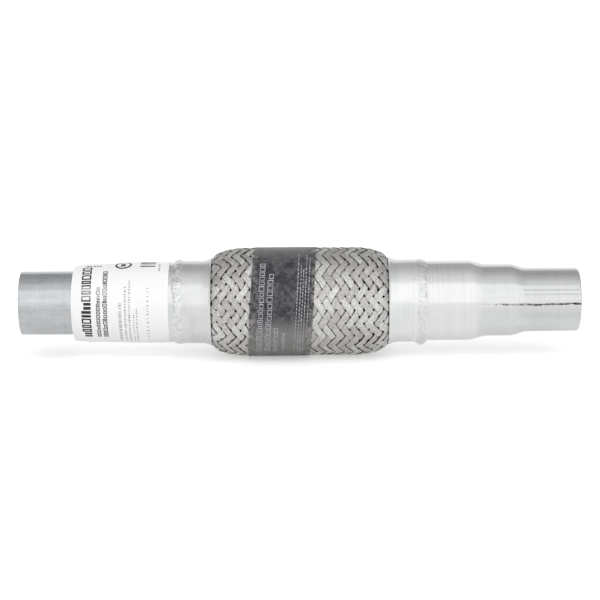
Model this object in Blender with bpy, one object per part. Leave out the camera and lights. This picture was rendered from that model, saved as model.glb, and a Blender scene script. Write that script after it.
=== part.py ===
"""Exhaust flex pipe: a braided bellows joint with a stepped pipe adapter welded to each end.

The pipe lies along X. The origin is on its axis, halfway along, and +Z is up. The inlet is at -X.
Angles about the axis start at +Y, the back, and go up through +Z; -Y is the front.
"""

import math

import bmesh
import bpy

MM = 0.001

# Gap that pieces seated on each other keep, and the facets of the turned pieces
SEAT = 0.2 * MM
OUTSIDE_FACETS = 32
NESTED_FACETS = 24

# Flex joint, from its bore outwards
FLEX_LENGTH = 150 * MM
FLEX_BORE = 45 * MM
RING_WALL = 0.6 * MM
RING_LENGTH = 24 * MM
LINER_WALL = 0.4 * MM
BELLOWS_WALL = 0.3 * MM
BRAID_END_WALL = 0.4 * MM
COLLAR_WALL = 1.0 * MM
COLLAR_LENGTH = 20 * MM
COLLAR_FLARE = 1.9 * MM
COLLAR_FLARE_LENGTH = 6.0 * MM
COLLAR_FLARE_CURVE = 1.4
END_RECESS = 1.5 * MM

# Bellows
CONVOLUTIONS = 8
CONVOLUTED_LENGTH = 84 * MM
CREST_SHARE = 0.45
CREST_CLEARANCE = 0.3 * MM

# Outer braid: a two over, two under weave of flat wire strands
BRAID_DIAMETER = 68 * MM
BRAID_WALL = 1.0 * MM
BRAID_RELIEF = 0.5 * MM
BRAID_SHOULDER = 21 * MM
BRAID_STRANDS = 24
BRAID_COLUMNS = 19
BRAID_BUNCHING = 0.053
GAP_WIDTH = 1.4 * MM
GAP_COLUMNS = (-16, -8, 8, 16)

# Stepped pipe adapters
PIPE_WALL = 1.5 * MM
LARGE_STEP = 2.5 * MM
MEDIUM_DIAMETER = 45 * MM
SMALL_DIAMETER = 40 * MM
LARGE_LENGTH = 32 * MM
MEDIUM_LENGTH = 19 * MM
SMALL_LENGTH = 35 * MM
TAPER_LENGTH = 7 * MM
MOUTH_ROUNDING = 2.0 * MM
SEAM_WIDTH = 1.1 * MM
SEAM_DEPTH = 0.3 * MM
INLET_SEAM_ANGLE = 35.0
OUTLET_SEAM_ANGLE = 178.0

# Weld beads
BEAD_WIDTH = 8 * MM
BEAD_ON_COLLAR = 2.8 * MM
BEAD_HEIGHT = 0.9 * MM
BEAD_RIPPLE = 0.15 * MM
BEAD_STOP_SPREAD = 11.0
INLET_STOP_LUMP = 0.8 * MM
INLET_STOP_ANGLE = 80.0
OUTLET_STOP_LUMP = 2.2 * MM
OUTLET_STOP_ANGLE = 261.0

# Paper label, wrapped round the inlet pipe and lapped at the back
LABEL_THICKNESS = 0.2 * MM
LABEL_CLEARANCE = 1.3 * MM
LABEL_LENGTH = 59.6 * MM
LABEL_STAND_OFF = 1.5 * MM
LABEL_EDGE_STAND_OFF = 2.2 * MM
LABEL_SHOULDER = 8.6 * MM

# Printed film, wrapped round the braid and lapped at the back
FILM_THICKNESS = 0.2 * MM
FILM_CENTRE = -11 * MM
FILM_WIDTH = 38.5 * MM
FILM_SKEW = 0.06
LAP_FACETS = 2

# Radii and places that follow from the sizes above
HALF_FLEX = FLEX_LENGTH / 2
LIP_X = HALF_FLEX - COLLAR_LENGTH
FLARE_END_X = LIP_X + COLLAR_FLARE_LENGTH
NESTED_END_X = HALF_FLEX - END_RECESS
RING_INNER = FLEX_BORE / 2
RING_OUTER = RING_INNER + RING_WALL
LINER_INNER = RING_OUTER + SEAT
LINER_OUTER = LINER_INNER + LINER_WALL
CUFF_INNER = LINER_OUTER + SEAT
CUFF_OUTER = CUFF_INNER + BELLOWS_WALL
BRAID_END_INNER = CUFF_OUTER + SEAT
BRAID_END_OUTER = BRAID_END_INNER + BRAID_END_WALL
COLLAR_INNER = BRAID_END_OUTER + SEAT
COLLAR_OUTER = COLLAR_INNER + COLLAR_WALL
BRAID_OUTER = BRAID_DIAMETER / 2
BRAID_MOUTH = BRAID_END_OUTER + COLLAR_FLARE
LARGE_DIAMETER = FLEX_BORE + 2 * LARGE_STEP
PIPE_START_X = HALF_FLEX + SEAT
PIPE_LENGTH = LARGE_LENGTH + MEDIUM_LENGTH + SMALL_LENGTH + 2 * TAPER_LENGTH - SEAT
PIPE_END_X = PIPE_START_X + PIPE_LENGTH
LARGE_END_X = HALF_FLEX + LARGE_LENGTH
BEAD_START_X = HALF_FLEX - BEAD_ON_COLLAR
BEAD_END_X = BEAD_START_X + BEAD_WIDTH
LABEL_START_X = BEAD_END_X + LABEL_CLEARANCE
LABEL_END_X = LABEL_START_X + LABEL_LENGTH


def clear_scene():
    for thing in list(bpy.data.objects):
        bpy.data.objects.remove(thing, do_unlink=True)


def finish_material(name, colour, roughness, metallic, alpha=1.0):
    material = bpy.data.materials.new(name)
    material.use_nodes = True
    shader = material.node_tree.nodes["Principled BSDF"]
    shader.inputs["Base Color"].default_value = (*colour, 1.0)
    shader.inputs["Roughness"].default_value = roughness
    shader.inputs["Metallic"].default_value = metallic
    shader.inputs["Alpha"].default_value = alpha
    return material


def materials():
    return {
        "pipe": finish_material("aluminised_steel", (0.70, 0.71, 0.72), 0.35, 1.0),
        "collar": finish_material("rolled_stainless_steel", (0.72, 0.72, 0.73), 0.3, 1.0),
        "wire": finish_material("braided_stainless_wire", (0.53, 0.52, 0.50), 0.4, 1.0),
        "bellows": finish_material("bright_stainless_sheet", (0.6, 0.6, 0.6), 0.25, 1.0),
        "weld": finish_material("weld_metal", (0.5, 0.5, 0.5), 0.5, 1.0),
        "paper": finish_material("label_paper", (0.9, 0.9, 0.9), 0.6, 0.0),
        "film": finish_material("smoked_film", (0.05, 0.05, 0.055), 0.25, 0.0, 0.85),
    }


def add_object(name, bm, material, sharp_from=30.0):
    """Makes the finished bmesh into an object, smooth but for its edges sharper than this."""
    bmesh.ops.recalc_face_normals(bm, faces=bm.faces[:])
    mesh = bpy.data.meshes.new(name)
    bm.to_mesh(mesh)
    bm.free()
    mesh.materials.append(material)
    mesh.shade_smooth()
    mesh.set_sharp_from_angle(angle=math.radians(sharp_from))
    thing = bpy.data.objects.new(name, mesh)
    bpy.context.scene.collection.objects.link(thing)
    return thing


def polar(x, radius, angle):
    return (x, radius * math.cos(angle), radius * math.sin(angle))


def mirrored(outline, side):
    """The outline on the outlet's side as drawn, or turned over for the inlet's."""
    return [(side * x, radius) for x, radius in outline]


def spin(outline, facets, phase):
    """Spins a closed outline of (x, radius) points round the pipe's axis into one closed ring."""
    bm = bmesh.new()
    first = phase * 2 * math.pi / facets
    corners = [bm.verts.new(polar(x, radius, first)) for x, radius in outline]
    edges = [bm.edges.new((a, b)) for a, b in zip(corners, corners[1:] + corners[:1])]
    bmesh.ops.spin(
        bm,
        geom=corners + edges,
        cent=(0, 0, 0),
        axis=(1, 0, 0),
        angle=2 * math.pi,
        steps=facets,
        use_merge=True,
    )
    return bm


def turned_outside(name, outline, material):
    """A turned piece on the outside. It has a flat facet, and not a corner, at the bottom."""
    return add_object(name, spin(outline, OUTSIDE_FACETS, 0.5), material)


def turned_nested(name, outline, material):
    """A turned piece inside the braid. All of these share their facets, so that none cuts another."""
    return add_object(name, spin(outline, NESTED_FACETS, 0.0), material)


def flare_rise(x):
    """How far the collar's mouth stands out at x: a soft bend, then nearly a cone up to the lip."""
    left = (FLARE_END_X - abs(x)) / COLLAR_FLARE_LENGTH
    return COLLAR_FLARE * min(max(left, 0.0), 1.0) ** COLLAR_FLARE_CURVE


def flare_stations():
    return [LIP_X, LIP_X + COLLAR_FLARE_LENGTH / 2, FLARE_END_X]


def collar_outline():
    """Rolled end collar: a short tube whose mouth flares over the braid."""
    outside = [(x, COLLAR_OUTER + flare_rise(x)) for x in flare_stations()]
    outside.append((HALF_FLEX, COLLAR_OUTER))
    inside = [(x, COLLAR_INNER + flare_rise(x)) for x in flare_stations()]
    inside.append((HALF_FLEX, COLLAR_INNER))
    return outside + inside[::-1]


def inner_ring_outline():
    """Ring that holds the inner braid's end against the bellows' cuff."""
    start = HALF_FLEX - RING_LENGTH
    return [
        (start, RING_OUTER),
        (HALF_FLEX, RING_OUTER),
        (HALF_FLEX, RING_INNER),
        (start, RING_INNER),
    ]


def liner_outline():
    return [
        (-NESTED_END_X, LINER_OUTER),
        (NESTED_END_X, LINER_OUTER),
        (NESTED_END_X, LINER_INNER),
        (-NESTED_END_X, LINER_INNER),
    ]


def braid_crown(x):
    """Radius of the braid's crowns at x: straight, then an elliptical shoulder into the collar."""
    past = (abs(x) - (LIP_X - BRAID_SHOULDER)) / BRAID_SHOULDER
    if past <= 0:
        return BRAID_OUTER
    return BRAID_MOUTH + (BRAID_OUTER - BRAID_MOUTH) * math.sqrt(max(0.0, 1 - past * past))


def column_x(column):
    """Place along the pipe of a half column of the weave, which bunches up a little in the middle."""
    share = column / BRAID_COLUMNS
    return LIP_X * share * (1 - BRAID_BUNCHING + BRAID_BUNCHING * share * share)


def inside_columns():
    """Columns at which the braid's plain inside has a ring: the gaps' own and those between."""
    last_gap = max(GAP_COLUMNS)
    between = (last_gap + min(c for c in GAP_COLUMNS if c > 0)) // 2
    shoulder = (last_gap + BRAID_COLUMNS + 1) // 2
    plain = {-BRAID_COLUMNS, -shoulder, -between, between, shoulder, BRAID_COLUMNS}
    return sorted(plain | set(GAP_COLUMNS))


def braid_inside(x):
    """Radius of the braid's inside at x, on the straight runs between its rings."""
    columns = inside_columns()
    for a, b in zip(columns, columns[1:]):
        start, end = column_x(a), column_x(b)
        if start <= x <= end:
            share = (x - start) / (end - start)
            first, last = braid_crown(start), braid_crown(end)
            return first + (last - first) * share - BRAID_WALL
    return BRAID_END_INNER


def bellows_outline():
    """One thin wall: a plain cuff at each end, and convolutions whose crests the braid lies on."""
    pitch = CONVOLUTED_LENGTH / CONVOLUTIONS
    half_crest = pitch * CREST_SHARE / 2
    start = -CONVOLUTED_LENGTH / 2
    outside = [(-NESTED_END_X, CUFF_OUTER), (start, CUFF_OUTER)]
    inside = [(-NESTED_END_X, CUFF_INNER), (start, CUFF_INNER)]
    for turn in range(CONVOLUTIONS):
        centre = start + (turn + 0.5) * pitch
        crest = min(braid_inside(centre - half_crest), braid_inside(centre + half_crest))
        for away in (-half_crest, half_crest):
            outside.append((centre + away, crest - CREST_CLEARANCE))
            wall_shift = math.copysign(BELLOWS_WALL, -away)
            inside.append((centre + away + wall_shift, crest - CREST_CLEARANCE - BELLOWS_WALL))
        outside.append((centre + pitch / 2, CUFF_OUTER))
        inside.append((centre + pitch / 2, CUFF_INNER))
    outside.append((NESTED_END_X, CUFF_OUTER))
    inside.append((NESTED_END_X, CUFF_INNER))
    return outside + inside[::-1]


class BraidMesh:
    """Outer braid as one wall. Its outside is a lattice of strand crossings.

    Rows go round the pipe and columns go along it, both in half steps. A point whose row and
    column sum to an even number is a corner between four crossings; the others are the crossings'
    middles. Two neighbouring crossings make one float, where a strand lies on top: a hipped ridge
    between its six corners.
    """

    def __init__(self):
        self.bm = bmesh.new()
        self.rows = 2 * BRAID_STRANDS
        self.points = {}
        self.inner_points = {}

    def vertex(self, row, column, radius):
        angle = row * math.pi / BRAID_STRANDS
        return self.bm.verts.new(polar(column_x(column), radius, angle))

    def is_gap(self, row, column):
        return column in GAP_COLUMNS and row % 2 == 0

    def top(self, row, column, towards=None):
        """Outside vertex at a lattice point, or the corner of its gap that faces a crossing."""
        row %= self.rows
        crown = braid_crown(column_x(column))
        if (row + column) % 2:
            key, radius = (row, column), crown
        elif self.is_gap(row, column):
            return self.gap_corner(self.points, row, column, towards, crown - BRAID_RELIEF)
        else:
            key, radius = (row, column), crown - BRAID_RELIEF
        if key not in self.points:
            self.points[key] = self.vertex(row, column, radius)
        return self.points[key]

    def gap_corner(self, store, row, column, towards, radius):
        """One corner of a gap, half its width from the middle along the row or the column."""
        row %= self.rows
        row_step = (towards[0] - row + self.rows // 2) % self.rows - self.rows // 2
        column_step = towards[1] - column
        key = (row, column, row_step, column_step)
        if key not in store:
            width_in_rows = GAP_WIDTH / 2 / (BRAID_OUTER * math.pi / BRAID_STRANDS)
            column_width = column_x(1) - column_x(0)
            width_in_columns = GAP_WIDTH / 2 / column_width
            store[key] = self.vertex(
                row + row_step * width_in_rows,
                column + column_step * width_in_columns,
                radius,
            )
        return store[key]

    def inner(self, row, column, towards=None):
        """Inside vertex of the wall under an even row."""
        row %= self.rows
        radius = braid_crown(column_x(column)) - BRAID_WALL
        if self.is_gap(row, column):
            return self.gap_corner(self.inner_points, row, column, towards, radius)
        if (row, column) not in self.inner_points:
            self.inner_points[row, column] = self.vertex(row, column, radius)
        return self.inner_points[row, column]

    def face(self, *corners):
        self.bm.faces.new(corners)

    def float_cells(self, row, column):
        """The float that starts at this crossing: its second crossing and its six corners."""
        lean = -1 if row % 4 == 1 else 1
        second = (row + 1, column + lean)
        sides = [(row, column + lean), (row + 1, column)]
        first_ends = [(row - 1, column), (row, column - lean)]
        second_ends = [(row + 2, column + lean), (row + 1, column + 2 * lean)]
        return second, sides, first_ends, second_ends

    def add_float(self, row, column):
        first = (row, column)
        second, sides, first_ends, second_ends = self.float_cells(row, column)
        left, right = sides
        for crossing, ends in ((first, first_ends), (second, second_ends)):
            near_left = ends[0] if ends[0][0] in (left[0] - 1, left[0] + 1) else ends[1]
            near_right = ends[1] if near_left == ends[0] else ends[0]
            loops = ((left, near_left), (near_left, near_right), (near_right, right))
            for a, b in loops:
                if self.on_braid(crossing, a, b):
                    self.face(
                        self.top(*crossing), self.top(*a, crossing), self.top(*b, crossing)
                    )
        for side in sides:
            if not self.on_braid(first, second, side):
                continue
            if self.is_gap(*side):
                foot = (self.top(*side, second), self.top(*side, first))
            else:
                foot = (self.top(*side),)
            self.face(self.top(*first), self.top(*second), *foot)

    def on_braid(self, *places):
        return all(abs(column) <= BRAID_COLUMNS for row, column in places)

    def ridge_sides(self):
        """Pairs of corners with a ridge across them, so that no edge joins them."""
        pairs = set()
        for row in range(1, self.rows, 2):
            for column in range(-BRAID_COLUMNS - 1, BRAID_COLUMNS + 2):
                if (row + column) % 2:
                    sides = self.float_cells(row, column)[1]
                    pairs.add(frozenset((r % self.rows, c) for r, c in sides))
        return pairs

    def add_outside(self):
        for row in range(1, self.rows, 2):
            for column in range(-BRAID_COLUMNS - 1, BRAID_COLUMNS + 2):
                if (row + column) % 2:
                    self.add_float(row, column)

    def add_gaps(self):
        """Opens the gaps right through: their lips outside, and the four sides of each."""
        ridged = self.ridge_sides()
        for column in GAP_COLUMNS:
            for row in range(0, self.rows, 2):
                faced = [(row + 1, column), (row, column + 1), (row - 1, column), (row, column - 1)]
                for a, b in zip(faced, faced[1:] + faced[:1]):
                    beyond = (a[0] + b[0] - row, a[1] + b[1] - column)
                    outer = (self.top(row, column, a), self.top(row, column, b))
                    pair = frozenset(((row, column), (beyond[0] % self.rows, beyond[1])))
                    if pair not in ridged:
                        self.face(self.top(*beyond), *outer)
                    self.face(*outer, self.inner(row, column, b), self.inner(row, column, a))

    def add_inside(self):
        """The plain inside between its rings, with the corners of the gaps let in."""
        columns = inside_columns()
        for near, far in zip(columns, columns[1:]):
            for row in range(0, self.rows, 2):
                loop = []
                for column, other, rows in ((near, 1, (row, row + 2)), (far, -1, (row + 2, row))):
                    for place, here in enumerate(rows):
                        if not self.is_gap(here, column):
                            loop.append(self.inner(here, column))
                            continue
                        along = self.inner(here, column, (here, column + other))
                        round_step = 1 if here == row else -1
                        across = self.inner(here, column, (here + round_step, column))
                        loop += [along, across] if place == 0 else [across, along]
                self.face(*loop)

    def add_ends(self):
        """The braid's plain ends, pressed between the bellows' cuff and the collar."""
        for side in (-1, 1):
            outer = [self.top(row, side * BRAID_COLUMNS) for row in range(self.rows)]
            for x in flare_stations()[1:] + [NESTED_END_X]:
                ring = self.ring(side * x, BRAID_END_OUTER + flare_rise(x), 1)
                self.bridge(outer, ring)
                outer = ring
            inner = [self.inner(row, side * BRAID_COLUMNS) for row in range(0, self.rows, 2)]
            for x in (FLARE_END_X, NESTED_END_X):
                ring = self.ring(side * x, BRAID_END_INNER, 2)
                self.bridge(inner, ring)
                inner = ring
            self.close_end(outer, inner)

    def ring(self, x, radius, step):
        return [
            self.bm.verts.new(polar(x, radius, row * math.pi / BRAID_STRANDS))
            for row in range(0, self.rows, step)
        ]

    def bridge(self, ring, other):
        following = zip(ring, ring[1:] + ring[:1], other, other[1:] + other[:1])
        for a, b, c, d in following:
            self.face(a, b, d, c)

    def close_end(self, outer, inner):
        """End face between an outer ring and an inner one of half as many points."""
        count = len(inner)
        for k in range(count):
            a, b, c = outer[2 * k], outer[2 * k + 1], outer[(2 * k + 2) % len(outer)]
            here, following = inner[k], inner[(k + 1) % count]
            self.face(a, b, here)
            self.face(b, following, here)
            self.face(b, c, following)


def add_outer_braid(material):
    braid = BraidMesh()
    braid.add_outside()
    braid.add_gaps()
    braid.add_inside()
    braid.add_ends()
    bmesh.ops.triangulate(braid.bm, faces=braid.bm.faces[:])
    return add_object("outer_braid", braid.bm, material, sharp_from=9.0)


def pipe_steps():
    """Corners of the pipe's outside, from the flex joint outwards: three diameters, two tapers."""
    x = LARGE_END_X
    steps = [(PIPE_START_X, LARGE_DIAMETER / 2)]
    for drop_from, drop_to, run in (
        (LARGE_DIAMETER / 2, MEDIUM_DIAMETER / 2, MEDIUM_LENGTH),
        (MEDIUM_DIAMETER / 2, SMALL_DIAMETER / 2, SMALL_LENGTH),
    ):
        middle = (drop_from + drop_to) / 2
        ease = (drop_from - drop_to) * 0.38
        steps += [
            (x, drop_from),
            (x + TAPER_LENGTH * 0.3, middle + ease),
            (x + TAPER_LENGTH * 0.7, middle - ease),
            (x + TAPER_LENGTH, drop_to),
        ]
        x += TAPER_LENGTH + run
    return steps


def on_taper(x):
    """Whether x is strictly inside one of the two tapers, whose insides are plain cones."""
    second = LARGE_END_X + TAPER_LENGTH + MEDIUM_LENGTH
    return any(start < x < start + TAPER_LENGTH for start in (LARGE_END_X, second))


def pipe_outline(side, rounded_mouth):
    outside = pipe_steps()
    end = PIPE_END_X
    small = SMALL_DIAMETER / 2
    if rounded_mouth:
        drop = MOUTH_ROUNDING / 2
        outside += [
            (end - MOUTH_ROUNDING, small),
            (end - MOUTH_ROUNDING * 0.35, small - drop * 0.35),
            (end, small - drop),
        ]
    else:
        outside.append((end, small))
    inside = [(x, radius - PIPE_WALL) for x, radius in outside if not on_taper(x)]
    return mirrored(outside + inside[::-1], side)


def cut_seam(bm, angle):
    """Sinks the pipe's lengthwise weld seam into its outside as a shallow groove."""
    half = SEAM_WIDTH / SMALL_DIAMETER
    facet = 2 * math.pi / OUTSIDE_FACETS
    middle = (0.0, math.cos(angle), math.sin(angle))
    for cut in (angle - half, angle, angle + half):
        near = [f for f in bm.faces if facing(f, middle) > math.cos(2 * facet)]
        geometry = set(near) | {e for f in near for e in f.edges} | {v for f in near for v in f.verts}
        across = (0.0, -math.sin(cut), math.cos(cut))
        bmesh.ops.bisect_plane(
            bm, geom=list(geometry), dist=1e-7, plane_co=(0, 0, 0), plane_no=across
        )
    for vertex in bm.verts:
        x, y, z = vertex.co
        radius = math.hypot(y, z)
        off_seam = abs(y * -math.sin(angle) + z * math.cos(angle))
        towards_seam = y * middle[1] + z * middle[2] > 0
        if off_seam < 1e-6 and towards_seam and radius > outside_radius(x) - PIPE_WALL / 2:
            vertex.co = (x, y * (1 - SEAM_DEPTH / radius), z * (1 - SEAM_DEPTH / radius))


def facing(face, direction):
    centre = face.calc_center_median()
    flat = math.hypot(centre.y, centre.z)
    return (centre.y * direction[1] + centre.z * direction[2]) / flat


def outside_radius(x):
    """Radius of the pipe's outside at x, on the straight runs between its corners."""
    steps = pipe_steps() + [(PIPE_END_X, SMALL_DIAMETER / 2)]
    for (start, first), (end, last) in zip(steps, steps[1:]):
        if abs(x) <= end:
            return first + (last - first) * max(0.0, abs(x) - start) / (end - start)
    return SMALL_DIAMETER / 2


def add_stepped_pipe(name, side, seam_angle, rounded_mouth, material):
    bm = spin(pipe_outline(side, rounded_mouth), OUTSIDE_FACETS, 0.5)
    cut_seam(bm, math.radians(seam_angle))
    return add_object(name, bm, material)


def bead_outline():
    """Weld bead over the joint: it sits on the collar on one side and on the pipe on the other."""
    on_collar = COLLAR_OUTER + SEAT
    on_pipe = LARGE_DIAMETER / 2 + SEAT
    top = max(on_collar, on_pipe) + BEAD_HEIGHT
    return [
        (BEAD_START_X, on_collar),
        (BEAD_START_X + BEAD_WIDTH * 0.2, (on_collar + 2 * top) / 3),
        (BEAD_START_X + BEAD_WIDTH * 0.45, top),
        (BEAD_END_X - BEAD_WIDTH * 0.2, (on_pipe + top) / 2),
        (BEAD_END_X, on_pipe),
        (PIPE_START_X, on_pipe),
        (PIPE_START_X, on_collar),
    ]


def add_weld_bead(name, side, stop_angle, stop_lump, material):
    """A bead with the ripples of its puddles, and a lump where the torch stopped."""
    outline = bead_outline()
    bm = spin(mirrored(outline, side), OUTSIDE_FACETS, 0.5)
    facet = 2 * math.pi / OUTSIDE_FACETS
    crown = [x for x, radius in outline[1:4]]
    on_pieces = max(COLLAR_OUTER, LARGE_DIAMETER / 2) + 2 * SEAT
    for vertex in bm.verts:
        x, y, z = vertex.co
        radius = math.hypot(y, z)
        if radius < on_pieces or not any(abs(abs(x) - place) < 1e-6 for place in crown):
            continue
        angle = math.atan2(z, y) % (2 * math.pi)
        ripple = BEAD_RIPPLE if round(angle / facet - 0.5) % 2 else 0.0
        away = (math.degrees(angle) - stop_angle + 180) % 360 - 180
        lump = stop_lump * math.exp(-((away / BEAD_STOP_SPREAD) ** 2))
        grown = (radius + ripple + lump) / radius
        vertex.co = (x, y * grown, z * grown)
    return add_object(name, bm, material)


def lap_rise(facet_number, facets, thickness):
    """How far a wrapped sheet has climbed by this facet, to lie on its own start."""
    return thickness + SEAT if facet_number >= facets else 0.0


def add_wrap(name, stations, thickness, facets, skew, material):
    """A sheet wrapped round the pipe at stations of (x, inner radius), and lapped past its start."""
    bm = bmesh.new()
    columns = []
    for number in range(facets + LAP_FACETS + 1):
        angle = (number + 0.5) * 2 * math.pi / facets
        rise = lap_rise(number, facets, thickness)
        inner, outer = [], []
        for x, radius in stations:
            for sheet, lift in ((inner, rise), (outer, rise + thickness)):
                place = polar(x, radius + lift, angle)
                sheet.append(bm.verts.new((x + skew * place[2], place[1], place[2])))
        columns.append(inner + outer[::-1])
    for here, following in zip(columns, columns[1:]):
        for k in range(len(here)):
            after = (k + 1) % len(here)
            bm.faces.new((here[k], here[after], following[after], following[k]))
    count = len(stations)
    for column in (columns[0], columns[-1]):
        for k in range(count - 1):
            opposite = 2 * count - 1 - k
            bm.faces.new((column[k], column[k + 1], column[opposite - 1], column[opposite]))
    return add_object(name, bm, material)


def label_stations():
    """The label bridges the pipe's steps as a stiff cone, and its free edge leans in a little more."""
    on_large = max(LARGE_DIAMETER, MEDIUM_DIAMETER) / 2 + SEAT
    over_medium = MEDIUM_DIAMETER / 2 + LABEL_STAND_OFF
    edge = SMALL_DIAMETER / 2 + LABEL_EDGE_STAND_OFF
    return [
        (-LABEL_START_X, on_large),
        (-LARGE_END_X, on_large),
        (LABEL_SHOULDER - LABEL_END_X, over_medium),
        (LABEL_SHOULDER / 2 - LABEL_END_X, edge + (over_medium - edge) * 0.6),
        (-LABEL_END_X, edge),
    ]


def film_stations():
    """The film is stretched over the braid's crowns, so its flats clear them."""
    radius = (BRAID_OUTER + SEAT) / math.cos(math.pi / OUTSIDE_FACETS)
    half = FILM_WIDTH / 2
    return [(FILM_CENTRE - half, radius), (FILM_CENTRE + half, radius)]


def build():
    clear_scene()
    finish = materials()
    add_outer_braid(finish["wire"])
    turned_nested("bellows", bellows_outline(), finish["bellows"])
    turned_nested("inner_braid", liner_outline(), finish["wire"])
    for place, side in (("inlet", -1), ("outlet", 1)):
        ring = mirrored(inner_ring_outline(), side)
        turned_nested(place + "_inner_ring", ring, finish["bellows"])
        collar = mirrored(collar_outline(), side)
        turned_outside(place + "_collar", collar, finish["collar"])
    add_weld_bead("inlet_weld_bead", -1, INLET_STOP_ANGLE, INLET_STOP_LUMP, finish["weld"])
    add_weld_bead("outlet_weld_bead", 1, OUTLET_STOP_ANGLE, OUTLET_STOP_LUMP, finish["weld"])
    add_stepped_pipe("inlet_stepped_pipe", -1, INLET_SEAM_ANGLE, False, finish["pipe"])
    add_stepped_pipe("outlet_stepped_pipe", 1, OUTLET_SEAM_ANGLE, True, finish["pipe"])
    add_wrap(
        "paper_label", label_stations(), LABEL_THICKNESS, OUTSIDE_FACETS, 0.0, finish["paper"]
    )
    add_wrap("film_wrap", film_stations(), FILM_THICKNESS, OUTSIDE_FACETS, FILM_SKEW, finish["film"])


build()
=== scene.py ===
"""Looks of the exhaust flex pipe: its woven strands, welds, tube finish, label, film and studio.

Lengths are in metres. Angles about the pipe's axis are measured at the front, from straight
ahead (-Y) up towards +Z. A noise's scale is its number of cells in a metre, so 400 gives patches
of about 2.5 mm.
"""

import math

import bmesh
import bpy
import numpy as np
from mathutils import Matrix, Vector


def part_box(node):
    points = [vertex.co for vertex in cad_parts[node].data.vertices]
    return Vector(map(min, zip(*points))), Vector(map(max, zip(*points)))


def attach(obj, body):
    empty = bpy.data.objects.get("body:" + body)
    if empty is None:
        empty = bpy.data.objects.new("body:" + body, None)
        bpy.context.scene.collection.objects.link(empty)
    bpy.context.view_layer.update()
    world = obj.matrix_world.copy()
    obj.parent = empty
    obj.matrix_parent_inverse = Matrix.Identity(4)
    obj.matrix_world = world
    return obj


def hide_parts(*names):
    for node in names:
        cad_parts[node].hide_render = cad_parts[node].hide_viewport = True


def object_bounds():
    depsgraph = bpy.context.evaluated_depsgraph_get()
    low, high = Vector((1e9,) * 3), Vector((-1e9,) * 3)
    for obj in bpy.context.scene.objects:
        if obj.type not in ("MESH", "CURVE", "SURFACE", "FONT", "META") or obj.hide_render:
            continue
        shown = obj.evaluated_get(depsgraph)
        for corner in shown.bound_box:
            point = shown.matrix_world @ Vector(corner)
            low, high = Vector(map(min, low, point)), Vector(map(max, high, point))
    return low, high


MM = 0.001

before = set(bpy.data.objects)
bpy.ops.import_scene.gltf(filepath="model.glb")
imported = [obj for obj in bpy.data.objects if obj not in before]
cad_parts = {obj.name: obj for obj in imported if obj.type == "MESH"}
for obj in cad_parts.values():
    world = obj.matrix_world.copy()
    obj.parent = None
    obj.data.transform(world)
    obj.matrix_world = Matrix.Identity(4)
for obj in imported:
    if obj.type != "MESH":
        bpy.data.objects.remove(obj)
CAD_LOW, CAD_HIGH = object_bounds()

# Outer braid: flat strands of drawn wire, two over and two under. Places and widths in the weave
# are counted in half columns along the pipe and half rows round it. STRAND_BACK holds the places
# of a strand's back across it, as shares of its half width.
STRANDS = 24
WIRES_IN_STRAND = 9
WIRE_GROOVE = 0.085 * MM
WIRE_LIFT = 0.01 * MM
STRAND_THICKNESS = 0.42 * MM
STRAND_ROUNDING = 0.09 * MM
STRAND_BACK = (0.94, 0.0, -0.94)
STRAND_DIVE = 0.72 * MM
STRAND_HALF_WIDTH = 0.421
STRAND_SQUEEZE = 0.05
SQUEEZE_START = 18 * MM
SQUEEZE_LENGTH = 22 * MM
SPOOL_SPREAD = 0.008
WIDTH_WANDER = 0.012
SIDE_WANDER = 0.02
LIFT_WANDER = 0.035 * MM
STRAND_ROLL = 0.13 * MM
FLOAT_TILT = 0.2 * MM
FLOATS = 40
CROWN_DEPTH = 0.1 * MM
WEAVE_COLUMNS = 19
WEAVE_BUNCHING = 0.053
WEAVE_STEP = 0.36
FLOAT_SAG = 0.15
BRAID_SHOULDER = 21 * MM
LIP_GAP = 0.3 * MM
LIP_REACH = 5 * MM
LIP_FLATTENING = 0.35
COLUMN_SAMPLES = (0.0, 0.32, 0.44, 0.56, 0.68)
BRAID_PIECES = 6

# Inner braid: one over, one under
LINER_STRANDS = 16
LINER_WIRES = 4
LINER_COLUMNS = 30
LINER_DEPTH = 0.55 * MM
LINER_GROOVE = 0.06 * MM
LINER_WAVE = 0.1 * MM
LINER_HALF_THICKNESS = 0.09 * MM
LINER_HALF_WIDTH = 0.44

# Stepped pipes
TUBE_WALL = 1.5 * MM
TUBE_OUT_OF_ROUND = 0.05 * MM
TAPER_LENGTH = 11.2 * MM
TAPER_LEAD = 1.2 * MM
LARGE_END = 107 * MM
MEDIUM_END = 133 * MM
LARGE_RADIUS = 25 * MM
MEDIUM_RADIUS = 22.5 * MM
SMALL_RADIUS = 20 * MM
MOUTH_ROUNDING = 2.0 * MM
MOUTH_CHAMFER = 0.12 * MM
SEAM_DEPTH = 0.3 * MM
SEAM_HALF_WIDTH = 0.5 * MM
SEAM_SHOULDER = 0.06 * MM
SEAM_GROWTH = 20 * MM
SCALE_OFFSET = 0.15 * MM
SCALE_FULL_FROM = 150 * MM
DRAW_MARK_DEPTH = 0.28 * MM
DRAW_MARK_HALF_WIDTH = 0.3 * MM
DRAW_MARK_START = MEDIUM_END + 5 * MM

# Collars
COLLAR_WALL = 1.0 * MM
COLLAR_RADIUS = 25.9 * MM
FLARE_RISE = 1.8 * MM
FLARE_LENGTH = 6 * MM
FLARE_CURVE = 1.4
COLLAR_DENT = 0.04 * MM
COLLAR_END = 75 * MM

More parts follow.
